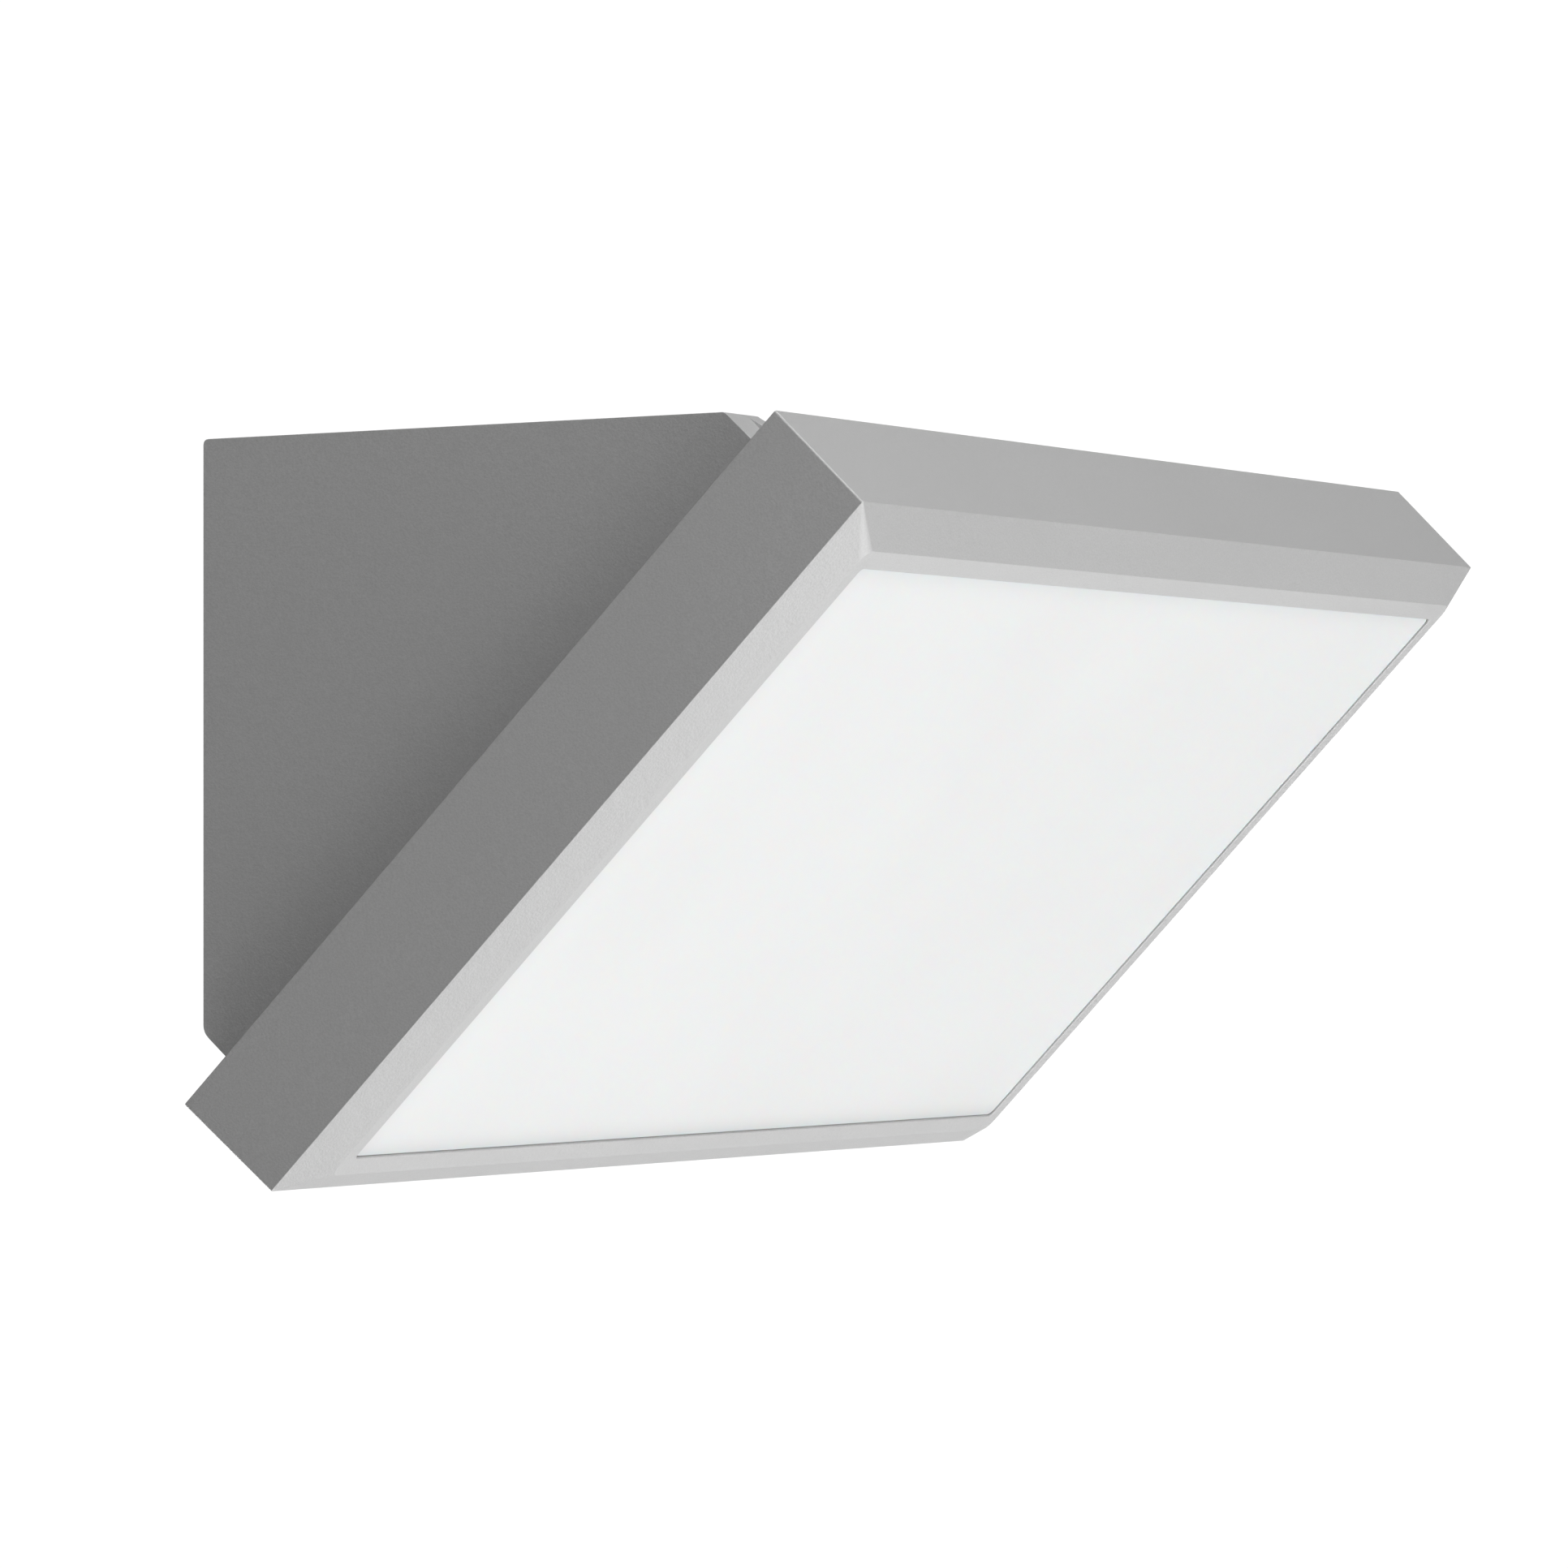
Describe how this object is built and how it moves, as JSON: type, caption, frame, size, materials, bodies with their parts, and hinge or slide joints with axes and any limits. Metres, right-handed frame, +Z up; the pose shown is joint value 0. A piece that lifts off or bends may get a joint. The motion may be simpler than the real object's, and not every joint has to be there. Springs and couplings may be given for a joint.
{
  "type": "outdoor wall lantern",
  "caption": "Wall lantern: a wedge-shaped cast housing carries a flat rectangular LED head that faces out and down, hinged along its top edge.",
  "frame": {"origin": "on the wall, at the middle of the housing's width and at the middle of its rear face's height", "axes": "+X to the right for someone facing the wall, +Y into the wall, +Z up"},
  "size_m": [0.301, 0.1222, 0.1253],
  "materials": {
    "powder_coat": "silver-grey fine-textured powder coat",
    "opal": "satin opal diffuser",
    "rubber": "black sealing rubber",
    "zinc_steel": "bright zinc plate",
    "stainless": "stainless steel",
    "white_plastic": "white moulded plastic",
    "light_board": "white solder mask on an aluminium core",
    "brass": "plain brass",
    "lead_brown": "brown insulation",
    "lead_blue": "blue insulation",
    "lead_white": "white sheath"
  },
  "bodies": {
    "housing": {"cable_grommet": "rubber", "clamp_nut_1": "zinc_steel", "clamp_nut_2": "zinc_steel", "driver_screw_1": "zinc_steel", "driver_screw_2": "zinc_steel", "earth_screw": "brass", "hinge_pin_1": "stainless", "hinge_pin_2": "stainless", "housing_casting": "powder_coat", "housing_screw_1": "zinc_steel", "housing_screw_2": "zinc_steel", "housing_screw_3": "zinc_steel", "housing_screw_4": "zinc_steel", "jumper_lead": "lead_white", "led_driver": "white_plastic", "mains_lead_live": "lead_brown", "mains_lead_neutral": "lead_blue", "rim_gasket": "rubber", "terminal_block": "white_plastic", "vent_plug": "rubber", "wall_gasket": "rubber", "wall_plate": "zinc_steel"},
    "head": {"clip_screw_1": "stainless", "clip_screw_2": "stainless", "clip_screw_3": "stainless", "clip_screw_4": "stainless", "cover_gasket": "rubber", "cover_screw_1": "stainless", "cover_screw_2": "stainless", "cover_screw_3": "stainless", "cover_screw_4": "stainless", "cover_screw_5": "stainless", "cover_screw_6": "stainless", "diffuser": "opal", "diffuser_clip_1": "stainless", "diffuser_clip_2": "stainless", "diffuser_clip_3": "stainless", "diffuser_clip_4": "stainless", "diffuser_gasket": "rubber", "head_frame": "powder_coat", "lead_grommet": "rubber", "led_strip_1": "light_board", "led_strip_2": "light_board", "led_strip_3": "light_board", "rear_cover": "powder_coat", "reflector_tray": "white_plastic", "tray_screw_1": "zinc_steel", "tray_screw_2": "zinc_steel", "tray_screw_3": "zinc_steel", "tray_screw_4": "zinc_steel"},
    "clamp_screw_1": {"clamp_screw_1": "stainless"},
    "clamp_screw_2": {"clamp_screw_2": "stainless"}
  },
  "joints": [
    {"name": "head_hinge", "type": "hinge", "parent": "housing", "child": "head", "pos_m": [0, -0.09597, 0.0451], "axis": [-1, 0, 0], "range_deg": [0, 90], "deforming": ["jumper_lead"]},
    {"name": "clamp_screw_1_slide", "type": "slide", "parent": "housing", "child": "clamp_screw_1", "axis": [0, 0.6875, -0.7262], "range_m": [0, 0.0015]},
    {"name": "clamp_screw_2_slide", "type": "slide", "parent": "housing", "child": "clamp_screw_2", "axis": [0, 0.6875, -0.7262], "range_m": [0, 0.0015]}
  ]
}
